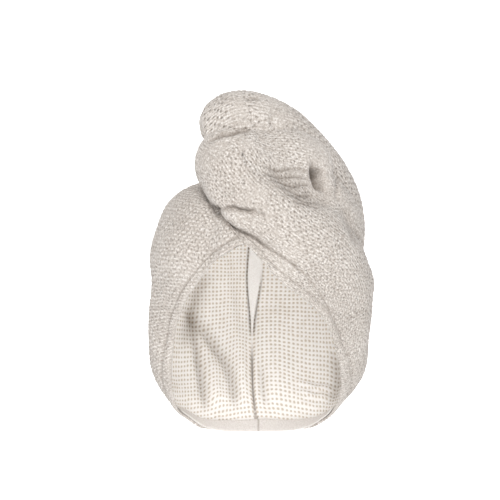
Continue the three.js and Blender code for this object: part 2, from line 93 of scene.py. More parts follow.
def curveThrough(knots, values, period=0):
    # Smooth curve through (knot, value): a cubic between neighbours, whose slope at a knot is
    # that of the line from the knot before it to the knot after it.
    x, y = np.array(knots, float), np.array(values, float)
    if period:
        x = np.concatenate([x[-2:] - period, x, x[:2] + period])
        y = np.concatenate([y[-2:], y, y[:2]])
    order = np.arange(len(x))
    before, after = np.maximum(order - 1, 0), np.minimum(order + 1, order[-1])
    slope = (y[after] - y[before]) / (x[after] - x[before])

    def curve(at):
        at = np.asarray(at, float)
        i = np.clip(np.searchsorted(x, at, side="right") - 1, 0, len(x) - 2)
        span = x[i + 1] - x[i]
        t = (at - x[i]) / span
        lean = slope[i] * (1 - t) - slope[i + 1] * t
        return y[i] + (y[i + 1] - y[i]) * t * t * (3 - 2 * t) + t * (1 - t) * span * lean

    return curve


def ramp(start, end, at):
    # 0 before start, 1 after end and an S curve between them.
    share = np.clip((at - start) / (end - start), 0, 1)
    return share * share * (3 - 2 * share)


def mix(a, b, share):
    # From a at share 0 to b at share 1.
    return a + (b - a) * share


def bump(distance, width):
    # A bell of height 1 that falls off over the width.
    return np.exp(-(distance / width) ** 2)


def unit(vectors):
    # Each vector over its own length.
    return vectors / np.maximum(np.linalg.norm(vectors, axis=-1, keepdims=True), 1e-9)


def smoothMax(a, b, blend):
    # The larger of the two, with a round of the blend's size where they meet.
    overlap = np.maximum(blend - np.abs(a - b), 0) / blend
    return np.maximum(a, b) + overlap * overlap * blend / 4


# The hood's form: how far each meridian stands out, as shares of the half sizes and the rise.
hoodForm = table("polar left right front back square", [
    [0, 1, 1, 1, 1, 2],
    [15, 1.05, 1.04, 1.02, 1.02, 2],
    [30, 1.145, 1.1, 1.04, 1.04, 2],
    [45, 1.15, 1.1, 1.03, 1.04, 2.1],
    [60, 1.075, 1.04, 1.01, 1.03, 2.1],
    [75, 1.025, 1, 1, 1.03, 2.2],
    [90, 0.975, 1.045, 0.98, 1.05, 2.3],
    [105, 1.03, 1.08, 0.97, 1.12, 2.4],
    [120, 1.17, 1.17, 1, 1.24, 2.6],
    [135, 1.41, 1.4, 1.08, 1.45, 2.9],
    [152, 1.62, 1.62, 1.2, 1.81, 3],
])

# The rim all round from the back: its angle from the crown, its reach and how softly it turns in.
rimForm = table("around polar reach turn", [
    [0, 152.3, 1.82, 20], [34, 150.8, 1.81, 18], [48, 148.5, 1.71, 16], [57, 147.3, 1.6, 15],
    [66, 146.6, 1.5, 15], [80, 144.8, 1.36, 17], [97, 140.6, 1.2, 24], [113, 133, 1.05, 34],
    [126, 122, 0.95, 40], [138, 111.5, 0.905, 42], [151, 102, 0.89, 42], [169, 88, 0.92, 36],
    [180, 75.5, 0.985, 26], [187, 69.5, 1.03, 22], [198, 74, 0.98, 26], [205, 78, 0.94, 34],
    [212, 83.5, 0.89, 40], [220, 91, 0.845, 42], [240, 110.5, 0.86, 42], [252, 121.5, 0.93, 40],
    [263, 131.5, 1.05, 32], [273, 139, 1.22, 24], [290, 145, 1.465, 17], [302, 146.7, 1.63, 15],
    [312, 147.5, 1.725, 15], [325, 150.6, 1.82, 17],
])
brow = {"around": 187.0, "flapLean": 44.0, "under": 197.0, "lapFull": 198.0, "lapEnd": 209.0}

formAt = {name: curveThrough(hoodForm["polar"], hoodForm[name]) for name in hoodForm if name != "polar"}
rimAt = {name: curveThrough(rimForm["around"], rimForm[name], 360) for name in rimForm if name != "around"}


def direction(around, polar):
    # Unit ball: x = sin(polar) sin(around), y = sin(polar) cos(around), z = cos(polar).
    a, p = np.broadcast_arrays(np.radians(around), np.radians(polar))
    return np.stack([np.sin(p) * np.sin(a), np.sin(p) * np.cos(a), np.cos(p)], -1)


def anglesOf(offsets):
    # The inverse of direction, for offsets from the middle in millimetres.
    ray = unit(offsets / hoodScale)
    around = np.degrees(np.arctan2(ray[..., 0], ray[..., 1])) % 360
    return around, np.degrees(np.arccos(np.clip(ray[..., 2], -1, 1)))


def domeShare(around, polar):
    # A superellipse across the head: (|x| / side)^n + (|y| / end)^n = 1.
    across, along = np.sin(np.radians(around)), np.cos(np.radians(around))
    side = np.where(across < 0, formAt["left"](polar), formAt["right"](polar))
    end = np.where(along < 0, formAt["front"](polar), formAt["back"](polar))
    power = formAt["square"](polar)
    return ((np.abs(across) / side) ** power + (np.abs(along) / end) ** power) ** (-1 / power)


def hoodOffset(around, polar):
    # The hood's outer face as an offset from the middle, turned in to the rim's reach near it.
    around = around % 360
    edge = rimAt["polar"](around)
    turn = np.maximum(1 - (edge - polar) / rimAt["turn"](around), 0) ** 2
    share = domeShare(around, polar) - (domeShare(around, edge) - rimAt["reach"](around)) * turn
    return direction(around, polar) * share[..., None] * hoodScale


# The roll over the brow, as balls threaded on its two arms and on the core between them.
lowerArm = table("x y z radius", [
    [0.72, -0.3, 0.02, 0.6], [0.56, -0.48, 0.3, 0.84], [0.28, -0.64, 0.53, 0.98],
    [0.035, -0.69, 0.79, 1.04], [-0.165, -0.62, 1.09, 1],
])
upperArm = table("x y z radius", [
    [-0.165, -0.6, 1.09, 0.98], [-0.235, -0.56, 1.17, 0.9], [-0.02, -0.54, 1.17, 0.86],
    [0.22, -0.47, 1.2, 0.86], [0.38, -0.38, 1.16, 0.78],
])
core = table("x y z radius", [
    [0.08, -0.5, 0.98, 0.92], [0.42, -0.4, 0.88, 0.8], [0.6, -0.24, 0.72, 0.72],
    [0.69, -0.06, 0.58, 0.62],
])
rollForm = {"arms": 16.0, "brow": 3.0, "side": 26.0, "sideFrom": 10.0, "sideFull": 60.0,
            "rimFrom": 2.0, "rimFull": 16.0, "ballSteps": 90}


def alongPath(rows, names, share):
    # Each named column as a smooth curve over the rows, at the shares of the way along it.
    knots = np.arange(len(rows[names[0]]))
    return np.stack([curveThrough(knots, rows[name])(share * knots[-1]) for name in names], -1)


def runningLength(points, axis=0):
    # The length along each line of a grid of points, from 0 at its start.
    steps = np.linalg.norm(np.diff(points, axis=axis), axis=-1)
    return np.concatenate([np.zeros_like(steps.take([0], axis)), np.cumsum(steps, axis=axis)], axis=axis)


def pathFrame(path, share):
    # Along the path, away from the middle, and the third way square to both.
    tangent = unit(np.gradient(path, share, axis=0))
    outward = unit(path - tangent * (path * tangent).sum(-1, keepdims=True))
    return tangent, outward, np.cross(tangent, outward)


def ballsAlong(rows):
    # The balls' centres and radii along one arm.
    share = np.linspace(0, 1, rollForm["ballSteps"])
    radii = alongPath(rows, ["radius"], share)[:, 0] * towel["rollRadius"]
    return alongPath(rows, "xyz", share) * hoodScale, radii


def reachOfBalls(balls, ray):
    # Where a ray from the middle leaves the last ball: along + sqrt(radius^2 - missed^2).
    reach = np.zeros(ray.shape[:-1])
    for centre, radius in zip(*balls):
        along = ray @ centre
        inside = radius ** 2 - centre @ centre + along ** 2
        reach = np.maximum(reach, np.where(inside > 0, along + np.sqrt(np.maximum(inside, 0)), 0))
    return reach


armBalls = [ballsAlong(rows) for rows in (lowerArm, upperArm, core)]


def rolledReach(around, polar):
    # The hood's reach, and that of the roll blended with it, softly only at the towel's side.
    around = around % 360
    hood = hoodOffset(around, polar)
    hoodReach = np.linalg.norm(hood, axis=-1)
    ray = hood / hoodReach[..., None]
    lower, upper, inner = (reachOfBalls(balls, ray) for balls in armBalls)
    arms = smoothMax(smoothMax(lower, upper, rollForm["arms"]), inner, rollForm["arms"])
    toSide = ramp(rollForm["sideFrom"], rollForm["sideFull"], hood[..., 0])
    fromRim = ramp(rollForm["rimFrom"], rollForm["rimFull"], rimAt["polar"](around) - polar)
    blend = mix(rollForm["brow"], rollForm["side"], toSide * fromRim)
    return {"ray": ray, "hood": hoodReach, "arms": arms, "reach": smoothMax(hoodReach, arms, blend)}


# Creases and soft valleys as they lie in the front view. Each name has its depth, its painted shade, its
# width and the places of its line, across and up, in millimetres. A negative depth stands out, and
# the shade is how much painted shade darkens the cloth's colour along the crease.
rollWrinkles = [
    [[3.1, 17], [17, 14.6], [31, 15.4], [42, 13.4]],
    [[4, 10.6], [17, 9.2], [30, 9.4], [43.4, 7]],
    [[8.4, 5.4], [21, 4.6], [34, 1.8], [47, 1.6]],
    [[13.6, -0.6], [27, -2.2], [40, -6], [51, -6.6]],
    [[20, -7], [32, -8.6], [45, -13], [54, -13.6]],
    [[30, -13.2], [42, -16], [55, -19.4]],
]
rollCreases = {
    "pinch fold": [5, 0.8, 1.7, [-31.6, -20], [-22.1, -18.9], [-18.6, -20.6], [-10, -22.4], [-2.2, -21.5]],
    "pinch fold tail": [2.6, 0.45, 1.6, [-3, -23.6], [5.6, -25.8]],
    "pinch": [7, 1, 3.4, [-38, -18], [-34, -22]],
    "crease over the brow": [2.4, 0.65, 1.2, [-36.2, -20.3], [-30.1, -29], [-23.1, -35.1], [-14.4, -39.5],
        [-3, -45.6], [3.1, -50.9], [12.7, -57], [27.6, -66.6], [36, -74.5]],
    "line of the right hem": [0.7, 0.4, 1.3, [26, -65.5], [36, -73], [46, -84], [56, -98], [64, -112],
        [70, -128]],
    "lip by the hood": [-5, 0, 4.2, [-46, 2], [-38.5, -9], [-32, -17], [-25, -26], [-17, -33], [-8, -38.5]],
    "lip of the crease": [-1.8, 0, 5.5, [-8, -34], [6, -43.5], [22, -53], [36, -64]],
    "under the pinch fold": [-1.6, 0, 3.4, [-26, -24.5], [-10, -27]],
    "under the cap": [4.6, 0.95, 1.9, [-44.6, 39.1], [-36.8, 43.6], [-30, 45.4], [-23.6, 46.2],
        [-16.6, 48.8], [-7, 50.6]],
    "soft valley": [7.5, 0.3, 7.5, [7.5, 12.5], [16.3, 9.8], [30, -0.5], [40.9, -7.8], [52.4, -13]],
    "valley round the pit": [3, 0.15, 6, [52.4, -13], [62, -9], [69, -0.5]],
    "pit": [12, 0.55, 4.8, [51, 16], [53, 8], [57, 0]],
    "pit's edge": [8, 0.75, 2.4, [48, 19.5], [49, 11.4], [52.5, 1.5], [58.3, -3]],
    "side fold": [3, 0.3, 1.8, [71.3, 12], [71, 0], [70.4, -12]],
    "side valley": [4, 0.3, 4.5, [76, -18], [78.2, -24], [81.8, -33], [86.4, -45], [91, -52]],
}
rollCreases.update({"wrinkle %d" % (i + 1): [2, 0.85, 0.95, *line] for i, line in enumerate(rollWrinkles)})


strokeEnds = {"fade": 0.75, "power": 4}


def strokeDepth(points, strokes, what="depth"):
    # Sum of bells over the distance, in the front view, to each stroke's line, faded at its ends.
    total = np.zeros(points.shape[:-1])
    flat = points[..., [0, 2]]
    for depth, shade, width, *line in strokes.values():
        line = np.array(line, float)
        lengths = np.linalg.norm(np.diff(line, axis=0), axis=1)
        nearest = np.full(total.shape, np.inf)
        place = np.zeros(total.shape)
        for start, end, length, run in zip(line[:-1], line[1:], lengths, np.cumsum(lengths) - lengths):
            share = np.clip(((flat - start) @ (end - start)) / length ** 2, 0, 1)
            gap = np.linalg.norm(flat - start - share[..., None] * (end - start), axis=-1)
            place = np.where(gap < nearest, (run + share * length) / lengths.sum(), place)
            nearest = np.minimum(gap, nearest)
        fade = 1 - strokeEnds["fade"] * np.abs(2 * place - 1) ** strokeEnds["power"]
        total += (depth if what == "depth" else shade) * fade * bump(nearest, width)
    return total


def inwardOf(points, ray):
    # The way a crease is pressed in: square to the surface, and straight back where it faces front.
    normal = unit(np.cross(np.gradient(points, axis=0), np.gradient(points, axis=1)))
    normal = normal * np.sign((normal * ray).sum(-1, keepdims=True))
    facing = np.clip(-normal[..., 1:2], 0, 1)
    return unit(facing * np.array([0, 1, 0]) - normal)


def clothMap(u, v):
    # A map of the cloth in millimetres along it and across it.
    return np.stack(np.broadcast_arrays(u, v), -1)


def gridFaces(points):
    # Quads of a grid whose points run column by column.
    columns, rows = points.shape[:2]
    i, j = np.meshgrid(np.arange(columns - 1), np.arange(rows - 1), indexing="ij")
    a = (i * rows + j).ravel()
    return np.stack([a, a + rows, a + rows + 1, a + 1], -1)


def closeSeams(mesh, near=1e-6):
    # Joins the points that lie on each other at poles and seams.
    shell = bmesh.new()
    shell.from_mesh(mesh)
    bmesh.ops.remove_doubles(shell, verts=shell.verts, dist=near)
    bmesh.ops.dissolve_degenerate(shell, edges=shell.edges, dist=near / 10)
    shell.to_mesh(mesh)
    shell.free()


mapScale = {"least": 0.4, "low": 0.75, "high": 1.4, "most": 2.0, "smoothing": 6}


def evenCloth(points, uv):
    # 1 where the cloth map keeps its scale along both ways of the grid, 0 where it is stretched.
    keeps = np.ones(points.shape[:2])
    for axis in (0, 1):
        real = np.linalg.norm(np.gradient(points, axis=axis), axis=-1)
        ratio = np.linalg.norm(np.gradient(uv, axis=axis), axis=-1) / np.maximum(real, 1e-3)
        keeps = keeps * ramp(mapScale["least"], mapScale["low"], ratio)
        keeps = keeps * ramp(mapScale["most"], mapScale["high"], ratio)
    for _ in range(mapScale["smoothing"]):
        keeps[1:-1, 1:-1] = (keeps[1:-1, 1:-1] + keeps[2:, 1:-1] + keeps[:-2, 1:-1]
                             + keeps[1:-1, 2:] + keeps[1:-1, :-2]) / 5
    return keeps


def addSurface(name, points, uv=None, faces=None, **marks):
    # Puts a numpy surface, in millimetres, into a smooth-shaded mesh with its own UV map and
    # marks, which are values from 0 to 1 that its material reads.
    used, faces = np.unique(gridFaces(points) if faces is None else faces, return_inverse=True)
    faces = faces.reshape(-1, 4)
    mesh = bpy.data.meshes.new(name)
    mesh.vertices.add(len(used))
    mesh.vertices.foreach_set("co", (points.reshape(-1, 3)[used] * mm).astype(np.float32).ravel())
    mesh.loops.add(faces.size)
    mesh.loops.foreach_set("vertex_index", faces.astype(np.int32).ravel())
    mesh.polygons.add(len(faces))
    mesh.polygons.foreach_set("loop_start", np.arange(0, faces.size, 4, dtype=np.int32))
    mesh.polygons.foreach_set("use_smooth", np.ones(len(faces), bool))
    if uv is not None:
        layer = mesh.uv_layers.new(name="cloth")
        corners = uv.reshape(-1, 2)[used][faces.ravel()] * mm
        layer.data.foreach_set("uv", corners.astype(np.float32).ravel())
    for mark, values in marks.items():
        layer = mesh.attributes.new(mark, "FLOAT", "POINT")
        layer.data.foreach_set("value", values.reshape(-1)[used].astype(np.float32))
    mesh.update(calc_edges=True)
    closeSeams(mesh)
    piece = bpy.data.objects.new(name, mesh)
    bpy.context.scene.collection.objects.link(piece)
    print(name, len(faces) * 2, "triangles")
    return piece


def addTowelling(name, points, creased, uv, faces=None):
    # A surface with the two marks that the towelling's material reads.
    return addSurface(name, points, uv, faces, creased=creased, evenCloth=evenCloth(points, uv))


# The turned hem that both panels of the hood have.
panelHem = {"radius": 1.8, "turnedIn": 10.0, "arcSteps": 8, "innerSteps": 5, "swell": 1.3,
            "swellFrom": 3.0, "stitchWidth": 1.2}


def hemmed(rows):
    # Rows of a face, and on round its hem: ones for the hem's rows, then for every row how far
    # back from the edge it lies and how deep, a half circle of the radius and a flat run inside.
    radius, inner = panelHem["radius"], panelHem["innerSteps"]
    turn = np.linspace(0, np.pi, panelHem["arcSteps"] + 1)[1:]
    back = np.concatenate([np.full(rows, radius), radius - radius * np.sin(turn),
                           np.linspace(radius, panelHem["turnedIn"], inner + 1)[1:]])
    deep = np.concatenate([np.zeros(rows), radius - radius * np.cos(turn), np.full(inner, 2 * radius)])
    return np.ones(len(turn) + inner), back, deep


def hemRelief(form, fromRim):
    # The swell towards the edge, the relief with the line of stitches drawn in, and the painted shade in
    # that groove.
    calm = form["stitchBack"] + panelHem["swellFrom"]
    swell = panelHem["swell"] * ramp(calm, panelHem["radius"], fromRim)
    stitch = bump(fromRim - form["stitchBack"], panelHem["stitchWidth"])
    return swell, swell - form["stitchDepth"] * stitch, form["stitchShade"] * stitch


def lapLift(around):
    # The left panel's front edge lies over the right panel, so it is lifted by a wall and a gap.
    return (towel["outerWall"] + towel["layerGap"]) * ramp(brow["lapEnd"], brow["lapFull"], around)


def degreesFor(length):
    # The angle that a length takes up at the hood's half width.
    return np.degrees(length / towel["halfWidth"])


# Knobs of the cloth as real relief, so that the outline isn't smooth either. The finer thread
# relief is in the material.
knobs = {"pitch": 5.2, "height": 0.46, "bend": 0.9, "bendPitches": 9.0, "phases": (0.3, 1.7, 4.1)}


def knobRelief(points):
    # Three crossing waves of the knobs' pitch, bent by a slow wave so that they never line up.
    p = points / knobs["pitch"] * 2 * np.pi
    slow = knobs["bend"] * np.sin(p[..., ::-1] / knobs["bendPitches"] + np.array(knobs["phases"]))
    x, y, z = np.moveaxis(p + slow, -1, 0)
    return knobs["height"] * (np.sin(x) * np.cos(y) + np.sin(y) * np.cos(z) + np.sin(z) * np.cos(x)) / 1.5


# The left panel of the hood, from the back seam round the left side to the flap at the brow.
leftPanel = {"columns": 250, "rows": 200, "finerDown": 1.15, "stitchBack": 9.5, "stitchDepth": 1.5,
             "stitchShade": 0.55, "seamGap": -0.2}
# Laid out as the roll's creases, each with its painted shade. The line by the flap's edge is painted shadow
# under that edge, over a shallow groove.
leftCreases = {
    "crease under the roll": [5, 0.85, 2.8, [-54, 14], [-51, 5], [-48.5, 0.7], [-42.4, -9.8],
        [-36.2, -20.3], [-30.1, -29], [-23.1, -35.1], [-14.4, -39.5]],
    "line by the flap's edge": [1.2, 1.6, 1.1, [-24.5, -36], [-18.6, -43], [-14.4, -48.6]],
    "under the roll": [1.2, 0, 7, [-60, 3], [-48.6, -2], [-36.2, -24], [-24, -38]],
    "waist": [1.6, 0, 12, [-97, -84], [-86, -92]],
    "hem pull": [0.9, 0, 5, [-30, -52], [-58, -92]],
}


def paintedCreaseShade(points, strokes, shown):
    # From 0 to 1: how much painted shade darkens the cloth in its creases.
    return np.clip(strokeDepth(points, strokes, "shade"), 0, 1) * shown


def relieved(points, ray, out, deepest, pressed, gap):
    # Moves a panel out along its rays, with knobs that fade round the hem, in along its creases,
    # and off the back seam.
    out = out - deepest + knobRelief(points) * ramp(2 * panelHem["radius"], 0, deepest)
    moved = ray * out[..., None] + inwardOf(points, ray) * pressed[..., None]
    return points + moved + np.array([gap, 0, 0])


def buildLeftPanel(form):
    # around runs from 360 at the back to the flap's edge, polar from the crown to the rim. Past
    # the rim and past the flap's edge the same surface goes round the turned hem and inside.
    radius = panelHem["radius"]
    past, sideBack, sideDeep = hemmed(form["columns"])
    past, downBack, downDeep = hemmed(form["rows"])
    down = 1 - (1 - np.linspace(0, 1, form["rows"])) ** form["finerDown"]
    share = np.concatenate([np.linspace(0, 1, form["columns"]), past])[:, None]
    upFromRim = degreesFor(form["finerDown"] * (downBack[form["rows"]:] - radius))
    upFromRim = np.maximum(upFromRim, 0) / rimAt["polar"](brow["around"])
    flap = brow["around"] + brow["flapLean"] * np.concatenate([1 - down, upFromRim])
    down = np.concatenate([down, past])
    around = 360 + (flap + degreesFor(sideBack[:, None]) - 360) * share
    rim = rimAt["polar"](around % 360)
    polar = (rim - degreesFor(downBack)) * down
    offset = hoodOffset(around, polar)
    reach = np.linalg.norm(offset, axis=-1)
    ray = offset / reach[..., None]
    points = middle + offset
    deepest = np.maximum(sideDeep[:, None], downDeep)
    outer = deepest == 0
    swell, relief, shadeOnStitches = hemRelief(form, np.radians(rim - polar) * reach)
    relief = np.where(outer, relief, np.maximum(panelHem["swell"] * (downDeep > 0), swell))
    isFront = ramp(0, -20, points[..., 1])
    fromFlap = np.radians(around - flap) * reach
    pressed = strokeDepth(points, leftCreases) * isFront * outer * ramp(radius, 8, fromFlap)
    # Painted shade in the creases and along the stitch line's groove.
    creased = np.maximum(paintedCreaseShade(points, leftCreases, outer * isFront), shadeOnStitches * outer)
    lift = lapLift(around) * ramp(0, 0.4, down)
    return relieved(points, ray, lift + relief, deepest, pressed, form["seamGap"]), creased


earMap = {"drop": 20.0, "squeeze": (1.0, 0.95, 0.85), "level": 100.0, "rise": 105.0}


def sideMap(points):
    # Cloth coordinates of the panel: lengths round a ball about the ear, so that rows run level.
    offset = (points - middle + np.array([0, 0, earMap["drop"]])) * np.array(earMap["squeeze"])
    level = np.arctan2(offset[..., 1], np.abs(offset[..., 0]) + 1e-6)
    rise = np.arcsin(np.clip(unit(offset)[..., 2], -1, 1))
    return clothMap(-earMap["level"] * level, earMap["rise"] * rise)


points, creased = buildLeftPanel(leftPanel)
hoodLeft = addTowelling("left_hood_panel", points, creased, sideMap(points))


# The right panel and the roll are one cloth: it comes round from the back seam over the right
# side, is wound up over the brow, and its wound end hangs over the left panel.
rightPanel = {"columns": 330, "rows": 250, "finer": 1.2, "finerAt": 0.74, "finerSpread": 0.2,
              "evenness": 0.65, "smoothing": 25, "stitchBack": 9.0, "stitchDepth": 0.9, "stitchShade": 0.35,
              "seamGap": 0.2, "sink": 2.9, "sinkFrom": 198.0, "sinkFull": 206.0, "tuck": 4.0,
              "creaseDepth": 1.2, "creaseWidth": 2.2}
rollEnd = table("polar around", [
    [0, 296], [38, 290], [46, 244], [54, 219], [62, 206], [70, 198], [78, 197], [153, 197],
])
rollEndAt = curveThrough(rollEnd["polar"], rollEnd["around"])


def evenRows(points, down, form):
    # Moves the rows of a grid so that, column by column, they lie about as far apart along the
    # surface: the new places come from the running length, smoothed between columns.
    run = runningLength(points, 1)
    run = run / run[:, -1:]
    kernel = np.hanning(form["smoothing"])
    kernel = kernel / kernel.sum()
    wide = np.pad(run, ((len(kernel) // 2,) * 2, (0, 0)), mode="edge")
    run = sum(weight * wide[i:i + len(run)] for i, weight in enumerate(kernel))
    even = np.linspace(0, 1, points.shape[1])
    placed = np.stack([np.interp(even, column, down) for column in run])
    return mix(down, placed, form["evenness"])


def rolledPoints(around, polar):
    # The rolled face, sunk under the left panel where only the left panel shows.
    rolled = rolledReach(around, polar)
    form = rightPanel
    hood = rolled["hood"] - form["sink"] * ramp(form["sinkFrom"], form["sinkFull"], around)
    sunk = np.maximum(smoothMax(hood, rolled["arms"], rollForm["brow"]), hood)
    reach = np.where(around > form["sinkFrom"], sunk, rolled["reach"])
    return rolled, middle + rolled["ray"] * reach[..., None]


def buildRightPanel(form):
    # The columns stand closer together over the brow, where the sharp creases are.
    past, back, deep = hemmed(form["rows"])
    places = np.linspace(0, 1, form["columns"] - 1)
    steps = 1 / (1 + form["finer"] * bump(places - form["finerAt"], form["finerSpread"]))
    share = np.concatenate([[0], np.cumsum(steps)])[:, None] / steps.sum()

    def angles(down, back):
        # The grid's bearings and polars: each row ends where the roll does on its way down.
        around = share * rollEndAt(rimAt["polar"](brow["under"]) * down)
        rim = rimAt["polar"](np.minimum(around, brow["under"]))
        rim = rim - form["tuck"] * ramp(brow["around"] - 1, brow["around"] + 3, around)
        return around, rim, (rim - degreesFor(back)) * down

    down = np.linspace(0, 1, form["rows"])
    around, rim, polar = angles(down, panelHem["radius"])
    down = evenRows(rolledPoints(around, polar)[1], down, form)
    around, rim, polar = angles(np.concatenate([down, np.tile(past, (len(down), 1))], 1), back)
    rolled, points = rolledPoints(around, polar)
    deepest = np.broadcast_to(deep, around.shape)
    outer = deepest == 0
    isFront = ramp(10, -10, points[..., 1])
    onFoot = bump(rolled["arms"] - rolled["hood"], form["creaseWidth"])
    foot = form["creaseDepth"] * onFoot * ramp(60, 25, points[..., 0]) * isFront
    _, relief, shadeOnStitches = hemRelief(form, np.radians(rim - polar) * rolled["hood"])
    onRim = ramp(brow["around"] + 6, brow["around"], around)
    relief = np.where(outer, relief * onRim - foot, panelHem["swell"])
    pressed = strokeDepth(points, rollCreases) * isFront * outer
    # Painted shade in the creases and along the stitch line's groove.
    creased = np.maximum(paintedCreaseShade(points, rollCreases, outer * isFront), shadeOnStitches * outer * onRim)
    return relieved(points, rolled["ray"], relief, deepest, pressed, form["seamGap"]), creased


# The way that the cloth runs: up the right side, along the lower arm and back in the upper arm.
clothRun = table("x y z", [
    [0.3, 0.85, -1.55], [0.62, 0.45, -1.3], [0.84, 0.1, -0.85], [0.84, -0.12, -0.4],
    [0.72, -0.3, 0.02], [0.56, -0.48, 0.3], [0.28, -0.64, 0.53], [0.035, -0.69, 0.79],
    [-0.165, -0.62, 1.09], [-0.235, -0.56, 1.22], [-0.02, -0.54, 1.21], [0.22, -0.47, 1.2],
    [0.38, -0.38, 1.16], [0.5, -0.2, 1],
])


def runMap(points, rows):
    # Cloth coordinates about a path: u is the length along it to the nearest place, v the
    # length round it, distance times the angle from the outward side.
    share = np.linspace(0, 1, 420)
    path = alongPath(rows, "xyz", share) * hoodScale
    tangent, outward, across = pathFrame(path, share)
    flat = (points - middle).reshape(-1, 3)
    nearest = np.concatenate([
        np.argmin((part ** 2).sum(-1)[:, None] - 2 * part @ path.T + (path ** 2).sum(-1)[None, :], axis=1)
        for part in np.array_split(flat, 40)])
    offset = flat - path[nearest]
    side = (offset * across[nearest]).sum(-1)
    rise = (offset * outward[nearest]).sum(-1)
    along = (offset * tangent[nearest]).sum(-1)
    girth = np.hypot(side, rise) * np.arctan2(side, rise)
    return clothMap(runningLength(path)[nearest] + along, girth).reshape(points.shape[:-1] + (2,))


points, creased = buildRightPanel(rightPanel)
uv = runMap(points, clothRun)
hoodRight = addTowelling("right_panel_and_roll", points, creased, uv, gridFaces(points)[:, ::-1])


# The tail: a rope of the same cloth, from the cap over the crown and down the back to its tab.
tailPath = table("x y z width height", [
    [-0.52, -0.4, 1.5, 0.1, 0.1], [-0.48, -0.4, 1.51, 0.5, 0.5],
    [-0.38, -0.41, 1.52, 0.84, 0.84], [-0.18, -0.4, 1.53, 1.04, 1.04],
    [0.04, -0.33, 1.49, 1.02, 1.02], [0.24, -0.17, 1.35, 1.15, 1.06],
    [0.46, 0.05, 1.1, 1.25, 1.06], [0.6, 0.28, 0.8, 1.3, 1.08],
    [0.63, 0.48, 0.46, 1.3, 1.06], [0.56, 0.68, 0.06, 1.25, 0.94],
    [0.4, 0.84, -0.42, 1.1, 0.8], [0.2, 0.95, -0.94, 0.8, 0.6],
    [0.08, 0.97, -1.3, 0.44, 0.34], [0, 0.95, -1.42, 0.34, 0.24],
    [0, 0.95, -1.47, 0.1, 0.1],
])
tailForm = {"rings": 330, "sides": 170, "evenRings": 0.7, "lobes": 2, "turns": 1.6, "groove": 0.1,
            "grooveFrom": 0.22, "grooveFull": 0.47, "grooveShape": 0.7, "tabFrom": 0.67, "tabFull": 0.79,
            "tabWall": 4.3, "tuckedIn": 4.0, "rest": 3.0, "endFade": 0.03}
# Laid out as the roll's creases, each with its painted shade.
tailCreases = {
    "lip of the cap": [-2.6, 0, 4.5, [-38, 48], [-30, 50], [-20, 52], [-8, 55.5]],
    "top tuck": [3.2, 0.6, 1.8, [-11, 78], [-4, 79.5], [2, 79.5]],
    "cap's end": [1.8, 0.3, 2.2, [17.5, 68.5], [13, 64], [11.3, 59], [13.5, 54], [17, 50.5]],
    "cap's end swell": [-1, 0, 6, [5, 66], [2, 58]],
}


def pressedOut(points, share):
    # Whatever would sink into the hood or the roll is moved out along its ray to rest there.
    offset = points - middle
    reach = np.linalg.norm(offset, axis=-1)
    around, polar = anglesOf(offset)
    rolled = rolledReach(around, np.minimum(polar, rimAt["polar"](around)))
    face = middle + rolled["ray"] * rolled["reach"][..., None]
    isFront = ramp(-20, -40, face[..., 1])
    carved = np.maximum(strokeDepth(face, rollCreases), 0) + tailForm["tuckedIn"]
    floor = rolled["reach"] - 0.5 * towel["outerWall"] - carved * isFront
    onTab = ramp(tailForm["tabFrom"], tailForm["tabFull"], share)
    room = mix(3 * towel["tailRadius"], tailForm["tabWall"], onTab)
    pressed = np.minimum(smoothMax(reach, floor, tailForm["rest"]), rolled["reach"] + room)
    return middle + offset / reach[..., None] * pressed[..., None]


def buildTail(form):
    # A section carried along the path: across cos(angle) and outward sin(angle), with the
    # grooves of the winding running round it as it goes.
    share = 0.5 - 0.5 * np.cos(np.linspace(0, np.pi, form["rings"]))
    share = mix(share, np.linspace(0, 1, form["rings"]), form["evenRings"])
    path = alongPath(tailPath, "xyz", share) * hoodScale
    size = alongPath(tailPath, ["width", "height"], share) * towel["tailRadius"]
    tangent, outward, across = pathFrame(path, share)
    angle = np.linspace(0, 2 * np.pi, form["sides"])
    wind = form["lobes"] * angle + 2 * np.pi * form["turns"] * share[:, None]
    ridge = 1 - np.abs(np.sin(wind / 2)) ** form["grooveShape"]
    radial = 1 - form["groove"] * ramp(form["grooveFrom"], form["grooveFull"], share)[:, None] * ridge
    centre = middle + path[:, None, :]
    points = (centre + across[:, None, :] * (size[:, :1] * radial * np.cos(angle))[..., None]
              + outward[:, None, :] * (size[:, 1:] * radial * np.sin(angle))[..., None])
    points = pressedOut(points, share[:, None])
    points[:, -1] = points[:, 0]
    ray = unit(points - centre)
    isFront = ramp(-20, -35, points[..., 1])
    ends = ramp(0, form["endFade"], np.minimum(share, 1 - share))[:, None]
    creased = paintedCreaseShade(points, tailCreases, isFront)
    relief = (knobRelief(points) - strokeDepth(points, tailCreases) * isFront) * ends
    points = points + ray * relief[..., None]
    points[0], points[-1] = points[0].mean(0), points[-1].mean(0)
    girth = np.hypot(size[:, 0], size[:, 1]) / np.sqrt(2)
    v = (angle - np.pi) * mix(girth, girth.mean(), 0.5)[:, None]
    return points, creased, clothMap(runningLength(path)[:, None], v)


tail = addTowelling("tail_of_the_twist", *buildTail(tailForm))


# The back seam sways to the left on its way down: heights, and millimetres across.
seamSway = curveThrough([-240, -225, -212, -190, -150, -100, -50, 0, 20],
                        [0, -0.5, -2.5, -4.8, -5.5, -5.0, -3.0, -1.0, 0])
seamStrip = {"polarTop": 56.0, "polarLow": 122.0, "halfWidth": 7.0, "narrowsFrom": 0.42, "tip": 0.1,
             "wall": 1.3, "depth": 6.8, "rows": 150, "sides": 26, "lean": 2.2, "edgeLine": 1.0,
             "endPower": 24, "crown": 0.5, "uvPerDegree": 1.8}


